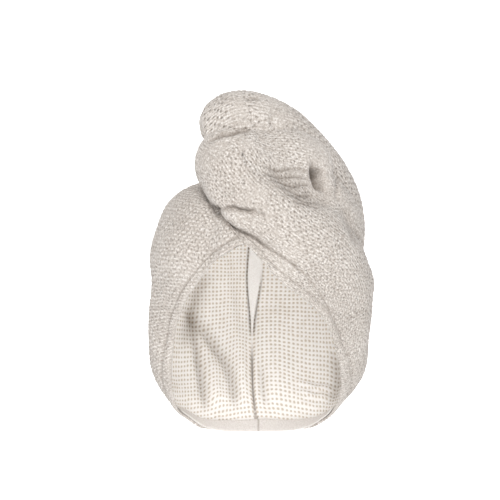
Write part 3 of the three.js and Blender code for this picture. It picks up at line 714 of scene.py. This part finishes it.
def stripWidth(polar):
    # Half the strip's width, drawn to its tip by a ramp, its lean and the share of the way down.
    t = (polar - seamStrip["polarTop"]) / (seamStrip["polarLow"] - seamStrip["polarTop"])
    wide = seamStrip["halfWidth"] * mix(1, seamStrip["tip"], ramp(seamStrip["narrowsFrom"], 1, t))
    return wide, seamStrip["lean"] * (1 - t), t


# The lining: a waffle weave whose cells are real relief. Its grid follows the cells, rows level
# and columns beside the back seam, and what lies past the rim is drawn in to it.
lining = {"cell": 3.9, "steps": 4, "lowest": 152.0, "measures": 900, "bearings": 500, "pitDepth": 0.8,
          "pitShape": (0.8, 1.6), "setback": 1.8, "edgeDepth": 2.6, "edgeRun": 14.0, "inside": 5.3,
          "pad": 3.0, "foldsFrom": 4.0, "foldsFull": 16.0, "seamCalm": 9.0, "seamDip": 3.4,
          "seamWidth": 1.1, "seamFrom": -140.0, "seamFull": -165.0, "swayWidth": 28.0, "gap": 0.05}
# Laid out as the roll's creases, each with its painted shade.
liningFolds = {
    "left ridge": [-6, 0, 9, [-34, -60], [-25, -117], [-14, -160], [-10, -200]],
    "mound": [-4.5, 0, 7, [-46, -165], [-42, -190], [-34, -212]],
    "recess": [3, 0.65, 8, [-48, -76], [-56, -91], [-60.5, -105], [-66, -126], [-72, -150]],
    "long valley": [5.6, 0.55, 6, [-68, -114], [-62, -122], [-52, -134], [-41.3, -150], [-32, -162],
        [-25.8, -174], [-22, -186], [-20, -198], [-19, -216]],
    "side valley": [4.4, 0.6, 4.6, [-62, -128], [-57.8, -165], [-52, -200], [-46, -215]],
    "right ridge": [-5, 0, 13, [21, -110], [22, -150], [26, -200]],
    "seam valley": [3.6, 0.4, 3.6, [7, -165], [9, -195], [13.9, -219]],
    "corner": [5, 0.55, 5, [74, -150], [77, -183], [70, -206], [62, -214]],
    "pull one": [-2.6, 0, 2.6, [40, -186], [58, -192], [74, -190]],
    "pull two": [-2.6, 0, 2.4, [42, -195], [57, -200], [70, -198]],
    "pull three": [-2, 0, 2.2, [42, -204], [55, -208], [66, -207]],
}


def insideFace(around, polar, depth):
    # The hood's face, moved in towards the middle by the depth.
    offset = hoodOffset(around % 360, polar)
    return middle + offset - unit(offset) * np.asarray(depth)[..., None]


def buildLining(form, side):
    # side is 1 for the right half and -1 for the left, both from the back seam to the brow. The
    # depth under the hood's face grows with folds and lessens in each pit, by powers of the sines
    # of the cell's waves, and along the seam and the strip's edges.
    step, inside = form["cell"] / form["steps"], form["inside"]
    fine = np.linspace(0, form["lowest"], form["measures"])
    run = runningLength(insideFace(0, fine, inside))
    v = np.arange(0, run[-1], step)
    rowPolar = np.interp(v, run, fine)
    bearings = np.linspace(0, brow["around"] - 1 if side > 0 else 360 - brow["around"], form["bearings"])
    arc = runningLength(insideFace(side * bearings[:, None], rowPolar, inside))
    u = np.arange(0, arc[-1].max() + step, step)
    around = np.stack([np.interp(u, column, bearings) for column in arc.T], -1) * side
    u = u[:, None]
    limit = rimAt["polar"](around % 360) - degreesFor(form["setback"])
    isOut = (rowPolar > limit) | (u > arc[-1])
    polar = np.minimum(rowPolar, limit)
    base = insideFace(around, polar, inside)
    fromRim = np.radians(limit - polar) * towel["halfWidth"]
    isBack = ramp(-40, 0, base[..., 1])
    fade = ramp(form["foldsFrom"], form["foldsFull"], fromRim) * ramp(0, form["seamCalm"], u)
    folds = (form["pad"] - strokeDepth(base, liningFolds)) * isBack * fade
    acrossPit, upPit = form["pitShape"]
    wave = np.pi / form["cell"]
    pit = np.abs(np.sin(wave * u)) ** acrossPit * np.abs(np.sin(wave * v)) ** upPit
    wide, lean, along = stripWidth(polar)
    shown = (along > 0) * ramp(1, 0.9, along) * (1 if side < 0 else ramp(0.25, 0.6, along))
    edgeLine = bump(np.abs(u * side - lean) - wide - 0.5, seamStrip["edgeLine"]) * shown
    seamLine = bump(u, form["seamWidth"]) * ramp(form["seamFrom"], form["seamFull"], base[..., 2])
    depth = mix(form["edgeDepth"], inside, ramp(0, form["edgeRun"], fromRim)) + folds
    depth = depth - form["pitDepth"] * pit * ramp(0, 4, fromRim)
    depth = depth - form["seamDip"] * np.maximum(seamLine, edgeLine)
    points = insideFace(around, polar, depth)
    sway = seamSway(points[..., 2]) * bump(u, form["swayWidth"]) * isBack
    points[..., 0] += form["gap"] * side + sway
    faces = gridFaces(points)
    faces = faces[~isOut.reshape(-1)[faces].all(1)][:, ::side]
    # Painted shade in the folds, in the seam's dip and along the strip's edges, where they cast shadow.
    shadeMark = np.maximum(paintedCreaseShade(base, liningFolds, isBack * fade), np.maximum(seamLine, 0.75 * edgeLine))
    return points, clothMap(u * side, v), faces, shadeMark


points, uv, faces, shadeMark = buildLining(lining, 1)
liningRight = addSurface("right_lining", points, uv, faces, creased=shadeMark)
points, uv, faces, shadeMark = buildLining(lining, -1)
liningLeft = addSurface("left_lining", points, uv, faces, creased=shadeMark)


# The cream hem along the nape: a flat bar, rounded at its edges, that hangs level with the rim.
napeHem = {"spread": 55.0, "halfHeight": 5.4, "halfWall": 1.1, "back": 1.4, "endBack": -0.6, "face": 2.5,
           "columns": 420, "sides": 28, "square": 4, "endPower": 7, "endFrom": 0.4, "endFull": 0.85,
           "wave": 0.6, "waves": (5.5, 13.0), "seamPlace": 0.5, "seamDip": 0.5, "seamWidth": 0.55,
           "seamShade": 0.45}


def buildNapeHem(form):
    # Superellipse section carried along the rim: back from the edge and depth inside, and painted shade in
    # the seam's dip.
    around = np.linspace(-form["spread"], form["spread"], form["columns"])[:, None]
    angle = np.linspace(0, 2 * np.pi, form["sides"])
    ring = np.stack([np.cos(angle), np.sin(angle)])
    high, wall = ring * (np.abs(ring) ** form["square"]).sum(0) ** (-1 / form["square"])
    toEnd = np.abs(around) / form["spread"]
    ends = np.sqrt(np.clip(1 - toEnd ** form["endPower"], 0, 1))
    short, long = form["waves"]
    wave = form["wave"] * np.sin(around / short) * np.cos(around / long + 0.6) * (high > 0)
    halfHeight = form["halfHeight"] * ends
    back = mix(form["back"], halfHeight + form["endBack"], ramp(form["endFrom"], form["endFull"], toEnd))
    tall = halfHeight * high + back + wave
    seam = bump(around - form["seamPlace"], form["seamWidth"])
    deep = form["face"] + form["halfWall"] * (ends - form["seamDip"] * seam) * (1 + wall)
    rim = rimAt["polar"](around % 360)
    reach = np.linalg.norm(hoodOffset(around, rim), axis=-1)
    points = insideFace(around, rim - np.degrees(tall / reach), deep)
    points[:, -1] = points[:, 0]
    uv = clothMap(np.radians(around) * reach * 0.6, tall)
    return points, uv, np.broadcast_to(form["seamShade"] * seam, tall.shape)


points, uv, creased = buildNapeHem(napeHem)
hem = addSurface("hem_at_nape", points, uv, creased=creased)


# The strip folded over the top of the back seam, drawn to a point where the seam takes over.
def buildSeamStrip(form):
    # A flat rounded section drawn down the seam: half width times cos, wall times sin.
    t = np.linspace(0, 1, form["rows"])[:, None]
    polar = mix(form["polarTop"], form["polarLow"], t)
    wide, lean, _ = stripWidth(polar)
    angle = np.linspace(0, 2 * np.pi, form["sides"])
    ends = np.sqrt(np.clip(1 - np.abs(2 * t - 1) ** form["endPower"], 0, 1))
    x = lean + wide * ends * np.cos(angle)
    crown = 1 + form["crown"] * np.sin(np.pi * np.clip(x / (2 * form["halfWidth"]), -1, 1))
    deep = form["depth"] + form["wall"] * ends * np.sin(angle) * crown
    points = insideFace(np.degrees(x / towel["halfLength"]), polar, deep)
    points[..., 0] += seamSway(points[..., 2])
    points[:, -1] = points[:, 0]
    return points, clothMap(x, polar * form["uvPerDegree"])


strip = addSurface("folded_seam_strip", *buildSeamStrip(seamStrip))


# The button at the nape: a turned disc on a shank, set square on the hood.
napeButton = {"polar": 143.5, "radius": 11.0, "wall": 4.0, "shank": 3.0, "shankTop": 5.6, "foot": 0.7,
              "dish": 0.9, "sides": 72}


def buildNapeButton(form):
    # A profile of (radius, height) turned about the axis that stands square on the hood.
    r, low, top = form["radius"], form["shankTop"], form["shankTop"] + form["wall"]
    turn = np.linspace(-np.pi / 2, np.pi / 2, 15)
    edge = np.stack([r - form["wall"] / 2 + np.cos(turn) * form["wall"] / 2,
                     (low + top) / 2 + np.sin(turn) * form["wall"] / 2], -1)
    profile = np.concatenate([
        [[0, form["foot"]], [form["shank"], form["foot"]], [form["shank"], low]], edge,
        [[r * 0.66, top - 0.2], [r * 0.58, top - form["dish"]], [0, top - form["dish"]]]])
    seat = insideFace(0, form["polar"], 0)
    below = unit(insideFace(0, form["polar"] + 2, 0) - seat)
    side = np.array([1, 0, 0])
    angle = np.linspace(0, 2 * np.pi, form["sides"] + 1)[:, None]
    ring = np.cos(angle) * side + np.sin(angle) * below
    points = seat + profile[:, :1] * ring[:, None, :] + profile[:, 1:] * np.cross(side, below)
    points[-1] = points[0]
    return points


button = addSurface("button_at_nape", buildNapeButton(napeButton))


def fromHex(code):
    # sRGB hex to linear: c / 12.92 below 0.04045, else ((c + 0.055) / 1.055) ^ 2.4.
    c = np.array([int(code[i:i + 2], 16) for i in (1, 3, 5)]) / 255
    linear = np.where(c <= 0.04045, c / 12.92, ((c + 0.055) / 1.055) ** 2.4)
    return (*linear.tolist(), 1.0)


def feed(node, inputs):
    # Each entry is a property, an input's value, or the node that feeds the input, which stands
    # in a pair with its output where that isn't the first. A list is in the order of the inputs.
    for name, value in inputs.items() if isinstance(inputs, dict) else enumerate(inputs):
        pair = isinstance(value, tuple) and isinstance(value[0], bpy.types.Node)
        source, output = value if pair else (value, 0)
        if isinstance(source, bpy.types.Node):
            node.id_data.links.new(source.outputs[output], node.inputs[name])
        elif isinstance(name, int) or name in node.inputs:
            node.inputs[name].default_value = value
        else:
            setattr(node, name, value)
    return node


def newMaterial(name, constants):
    # A named material, the function that adds a node to it, by its kind and operation, and its
    # shader, whose own sockets hold the constants.
    material = bpy.data.materials.new(name)
    material.use_nodes = True
    tree = material.node_tree

    def add(kind, inputs=()):
        kind, _, operation = kind.partition(" ")
        node = tree.nodes.new("ShaderNode" + kind)
        return feed(feed(node, {"operation": operation} if operation else {}), inputs)

    return material, add, feed(tree.nodes["Principled BSDF"], constants)


def fabricMaterial(name, look):
    # Every fabric is matt, with a little sheen from its loose fibres. Its noises lie in the
    # piece's own space, and the mark on the mesh says how much painted shade darkens it in its
    # creases, seams and stitch lines.
    material, add, shader = newMaterial(name, {
        "Roughness": look["roughness"], "IOR": 1.5, "Specular IOR Level": look["shine"],
        "Sheen Weight": look["sheen"], "Sheen Roughness": 0.5})
    creased = (add("Attribute", {"attribute_name": "creased"}), "Fac")
    return material, add, shader, (add("TexCoord"), "Object"), creased


def bentCloth(add, here, look):
    # The cloth's own map, pulled this way and that by a slow noise.
    slow = add("TexNoise", {"Scale": look["bendScale"], "Vector": here})
    pull = look["bend"] * mm
    bend = add("VectorMath MULTIPLY_ADD", [(slow, "Color"), (pull, pull, 0.0), (-pull / 2, -pull / 2, 0.0)])
    return add("VectorMath ADD", [add("UVMap", {"uv_map": "cloth"}), bend])


def withRamp(node, stops):
    # Gives a colour ramp its (place, hex) pairs.
    elements = node.color_ramp.elements
    for place, code in stops[2:]:
        elements.new(place)
    for element, (place, code) in zip(elements, stops):
        element.position, element.color = place, fromHex(code)
    return node


# Cotton crepe towelling: spun melange yarn woven so that it draws up into small knobs with a pit
# between each four. The eye gets a matt, grainy greige with rows of small pits, whose shade is
# painted in a taupe colour, short pale loops of yarn and a soft fuzzy edge. The pits are drawn a
# little wider than they are, because the real ones are hardly a pixel across.
towelling = {"roughness": 0.92, "shine": 0.25, "sheen": 0.2, "bendScale": 70.0, "bend": 4.0,
             "pitPitch": 4.0, "randomness": 0.4, "turn": 45.0, "pitSize": 0.32, "pitShadeShare": 0.65,
             "pitRelief": 0.6, "fleckPitch": 1.3, "fleckShare": 0.5, "fleckRelief": 0.45,
             "loopPitch": 1.9, "loopRelief": 0.35, "rowPitch": 2.9, "rowBend": 2.2, "rowShare": 0.22,
             "patchScale": 24.0, "patchShare": 0.2, "foldShadeShare": 0.7, "pit": "#817465", "dark": "#a99f97",
             "middle": "#c5bdb5", "pale": "#e7e2dd", "fold": "#7d7166"}


def towellingMaterial(name, look):
    # Pits in turned rows where the cloth map is even and strewn where it isn't, over flecks, loops
    # and rows of yarn that set the tone. Painted shade in creases and stitch lines darkens all of it.
    material, add, shader, here, creased = fabricMaterial(name, look)
    even = (add("Attribute", {"attribute_name": "evenCloth"}), "Fac")
    bent = bentCloth(add, here, look)
    pitScale = 1 / (look["pitPitch"] * mm)
    turned = add("Mapping", {"Rotation": (0, 0, math.radians(look["turn"])), "Scale": [pitScale] * 3,
                             "Vector": bent})
    inRows = add("TexVoronoi", {"voronoi_dimensions": "2D", "Scale": 1.0, "Randomness": look["randomness"],
                                "Vector": turned})
    strewn = add("TexVoronoi", {"Scale": pitScale * 1.15, "Vector": here})
    distance = add("Mix", {0: even, 2: strewn, 3: inRows})
    pit = add("MapRange", {"interpolation_type": "SMOOTHSTEP", "From Max": look["pitSize"], "To Min": 1.0,
                           "To Max": 0.0, "Value": distance})
    flecks = add("TexVoronoi", {"Scale": 1 / (look["fleckPitch"] * mm), "Vector": here})
    yarns = add("TexNoise", {"Scale": 0.7 / (look["fleckPitch"] * mm), "Roughness": 0.7, "Vector": here})
    ownTone = add("MapRange", {"From Min": 0.3, "From Max": 0.7, "Value": yarns})
    loops = add("TexNoise", {"Scale": 1 / (look["loopPitch"] * mm), "Detail": 4.0, "Roughness": 0.7,
                             "Distortion": 0.8, "Vector": here})
    tone = add("Mix", {0: look["fleckShare"], 2: loops, 3: ownTone})
    patch = add("TexNoise", {"Scale": look["patchScale"], "Detail": 3.0, "Vector": here})
    lifted = add("Math MULTIPLY_ADD", [patch, look["patchShare"], -look["patchShare"] / 2])
    toned = add("Math ADD", [tone, lifted])
    rows = add("TexWave", {"bands_direction": "Y", "Distortion": look["rowBend"], "Detail Scale": 2.0,
                           "Scale": 0.314 / (look["rowPitch"] * mm), "Vector": bent})
    rowShare = add("Math MULTIPLY", [even, look["rowShare"]])
    rowTone = add("Math SUBTRACT", [(rows, "Fac"), 0.5])
    fleck = add("Math MULTIPLY_ADD", [rowTone, rowShare, toned])
    colours = withRamp(add("ValToRGB", {"Fac": fleck}),
                       [(0.22, look["dark"]), (0.50, look["middle"]), (0.78, look["pale"])])
    # The pit colour is painted shade, as shade falls in the hollows between the knobs.
    pitShade = add("Math MULTIPLY", [pit, look["pitShadeShare"]])
    withPitShade = add("Mix", {"data_type": "RGBA", 0: pitShade, 6: colours, 7: fromHex(look["pit"])})
    # The fold colour is the painted shade of creases and stitch lines.
    shadeMark = add("Math MULTIPLY", [creased, look["foldShadeShare"]])
    colour = add("Mix", {"data_type": "RGBA", 0: shadeMark, 6: (withPitShade, 2), 7: fromHex(look["fold"])})
    relief = add("Bump", {"Strength": 1.0, "Distance": -look["pitRelief"] * mm, "Height": pit})
    relief = add("Bump", {"Strength": 1.0, "Distance": -look["fleckRelief"] * mm, "Height": flecks,
                          "Normal": relief})
    relief = add("Bump", {"Strength": 0.9, "Distance": look["loopRelief"] * mm, "Height": loops,
                          "Normal": relief})
    feed(shader, {"Base Color": (colour, 2), "Normal": relief})
    return material


hoodCloth = towellingMaterial("cotton crepe towelling", towelling)
tailCloth = towellingMaterial("cotton crepe towelling drawn open", {
    **towelling, "pitPitch": 4.7, "randomness": 0.35, "pitSize": 0.34, "pitRelief": 1.1})


# Cotton waffle weave: square cells with soft ridges and deep pits, bleached to a warm cream. The
# eye gets a pale net with a small shadow in each cell, painted in as a darker pit colour, and painted
# shade in a fold darkens the pits more than the ridges.
waffle = {"roughness": 0.9, "shine": 0.25, "sheen": 0.2, "bendScale": 110.0, "bend": 2.4,
          "pitPower": 1.4, "unevenScale": 160.0, "uneven": 0.5, "ownShare": 0.4, "ownMore": 0.35,
          "pitReach": 0.4, "threadPitch": 0.7, "threadRelief": 0.18, "ridge": "#faf7f4",
          "body": "#f0eae3", "pit": "#d0c4b5", "fold": "#7d6f5f"}


def waffleMaterial(name, look):
    # A pit is sin(x)^2 sin(y)^(2 pitPower), in waves as long as the lining's cells.
    material, add, shader, here, creased = fabricMaterial(name, look)
    scale = math.pi / (lining["cell"] * mm)
    waves = add("VectorMath SCALE", {0: bentCloth(add, here, look), "Scale": scale})
    sines = add("VectorMath SINE", [waves])
    squared = add("VectorMath MULTIPLY", [sines, sines])
    parts = add("SeparateXYZ", [squared])
    narrow = add("Math POWER", [(parts, "Y"), look["pitPower"]])
    pit = add("Math MULTIPLY", [(parts, "X"), narrow])
    uneven = add("TexNoise", {"Scale": look["unevenScale"], "Vector": here})
    rough = add("Math MULTIPLY_ADD", [uneven, look["uneven"], -look["uneven"] / 2])
    mixed = add("Math ADD", [pit, rough])
    # The ramp paints the cells' light and shade: ridges paler, pits darker.
    colours = withRamp(add("ValToRGB", {"Fac": mixed}),
                       [(0.02, look["ridge"]), (0.28, look["body"]), (0.66, look["pit"])])
    # Painted shade of folds, the seam and the strip's edges, which reaches further into the pits.
    ownShare = add("Math MULTIPLY_ADD", [creased, look["ownMore"], look["ownShare"]])
    reach = add("Math MULTIPLY_ADD", [pit, look["pitReach"], ownShare])
    shadeMark = add("Math MULTIPLY", [creased, reach])
    colour = add("Mix", {"data_type": "RGBA", 0: shadeMark, 6: colours, 7: fromHex(look["fold"])})
    thread = add("TexNoise", {"Scale": 1 / (look["threadPitch"] * mm), "Vector": here})
    relief = add("Bump", {"Strength": 0.8, "Distance": look["threadRelief"] * mm, "Height": thread})
    feed(shader, {"Base Color": (colour, 2), "Normal": relief})
    return material


liningCloth = waffleMaterial("cotton waffle weave", waffle)


# Plain cotton tape: a fine close weave, matt cream, with soft unevenness along it.
tape = {"roughness": 0.88, "shine": 0.3, "sheen": 0.15, "threadPitch": 0.9, "relief": 0.25,
        "pale": "#e7e2de", "shade": "#d1cac4", "seam": "#7f7468"}


def tapeMaterial(name, look):
    # One fine noise gives both the tone and the relief of the threads.
    material, add, shader, here, creased = fabricMaterial(name, look)
    weave = add("TexNoise", {"Scale": 1 / (look["threadPitch"] * mm), "Detail": 3.0, "Vector": here})
    colours = withRamp(add("ValToRGB", {"Fac": weave}), [(0.3, look["shade"]), (0.62, look["pale"])])
    # The seam colour is painted shade in the dip of the hem's seam.
    colour = add("Mix", {"data_type": "RGBA", 0: creased, 6: colours, 7: fromHex(look["seam"])})
    relief = add("Bump", {"Strength": 0.8, "Distance": look["relief"] * mm, "Height": weave})
    feed(shader, {"Base Color": (colour, 2), "Normal": relief})
    return material


hemCloth = tapeMaterial("plain cotton tape", tape)
# The strip's tape is paler, like the lining's cream, and painted lighter still to make up for the shade
# inside the hood.
stripCloth = tapeMaterial("paler cotton tape with painted light", {**tape, "pale": "#fdfcfa", "shade": "#f1ede9"})


# Pressed and tumbled corozo nut, as buttons are cut from: satin, beige, with a faint grain.
nut = {"grain": 1.6, "dark": "#a8977f", "pale": "#c5b69f"}


def nutMaterial(name, look):
    # A drawn-out noise for the grain.
    material, add, shader = newMaterial(name, {"Roughness": 0.45, "IOR": 1.54})
    grain = add("TexNoise", {"Scale": 1 / (look["grain"] * mm), "Detail": 4.0, "Distortion": 1.5,
                             "Vector": (add("TexCoord"), "Object")})
    colours = withRamp(add("ValToRGB", {"Fac": grain}), [(0.3, look["dark"]), (0.7, look["pale"])])
    feed(shader, {"Base Color": colours})
    return material


buttonNut = nutMaterial("corozo nut", nut)
print("materials made")


# Each piece: what it is made of, the CAD nodes it stands for and the record's slot.
finishes = [
    (hoodLeft, hoodCloth, ["hood_left"], "outer_towelling"),
    (hoodRight, hoodCloth, ["hood_right", "front_twist"], "outer_towelling"),
    (tail, tailCloth, ["twist_tail"], "outer_towelling"),
    (liningLeft, liningCloth, ["lining_left"], "waffle_lining"),
    (liningRight, liningCloth, ["lining_right"], "waffle_lining"),
    (hem, hemCloth, ["nape_hem"], "hem_cloth"),
    (strip, stripCloth, ["seam_fold"], "hem_cloth"),
    (button, buttonNut, ["nape_button"], "button"),
]
for piece, material, nodes, slot in finishes:
    piece.data.materials.append(material)
    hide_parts(*nodes)
    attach(piece, "root")
    print(piece.name, "area %.4f m2" % sum(face.area for face in piece.data.polygons))


# Studio: a pale floor well below the towel, a white screen far behind it, an even surround and two
# large soft lights.
studio = {"floorHalf": 7.0, "floorDrop": 0.55, "paper": "#f7f7f7", "floorGlow": 0.3, "screenGlow": 0.8,
          "screenPlace": 4.2, "screenHalf": 4.0, "surround": 0.6, "aim": (0.0, 0.0, -0.08)}
studioLights = {"key light": [(-0.25, -2.1, 1.4), 33.0, 1.3], "fill light": [(0.3, -2.4, -0.5), 13.0, 1.2]}


def addPaper(name, corners, glow):
    # One flat sheet that glows a little, so that it stays white at its far end.
    mesh = bpy.data.meshes.new(name)
    mesh.from_pydata(corners, [], [(0, 1, 2, 3)])
    paper = bpy.data.objects.new(name, mesh)
    mesh.materials.append(newMaterial("matt white paper", {
        "Base Color": fromHex(studio["paper"]), "Roughness": 1.0, "Specular IOR Level": 0.0,
        "Emission Color": (1, 1, 1, 1), "Emission Strength": glow})[0])
    bpy.context.scene.collection.objects.link(paper)


def addLight(name, place, power, size):
    # A round lamp turned to the aim.
    data = bpy.data.lights.new(name, "AREA")
    data.shape, data.size, data.energy = "DISK", size, power
    light = bpy.data.objects.new(name, data)
    light.location = place
    light.rotation_euler = (Vector(studio["aim"]) - Vector(place)).to_track_quat("-Z", "Y").to_euler()
    bpy.context.scene.collection.objects.link(light)


def addSurround(strength):
    # An even white from all round.
    world = bpy.data.worlds.new("white surround")
    world.use_nodes = True
    feed(world.node_tree.nodes["Background"], {"Color": (1, 1, 1, 1), "Strength": strength})
    bpy.context.scene.world = world


half, low = studio["floorHalf"], cadLow[2] - studio["floorDrop"]
floor = [(-half, -half, low), (half, -half, low), (half, half, low), (-half, half, low)]
addPaper("studio_floor", floor, studio["floorGlow"])
half, far = studio["screenHalf"], studio["screenPlace"]
screen = [(-half, far, low), (half, far, low), (half, far, half), (-half, far, half)]
addPaper("studio_screen", screen, studio["screenGlow"])
addSurround(studio["surround"])
for name, (place, power, size) in studioLights.items():
    addLight(name, place, power, size)
bpy.context.scene.view_settings.view_transform = "Standard"
print("studio lit")
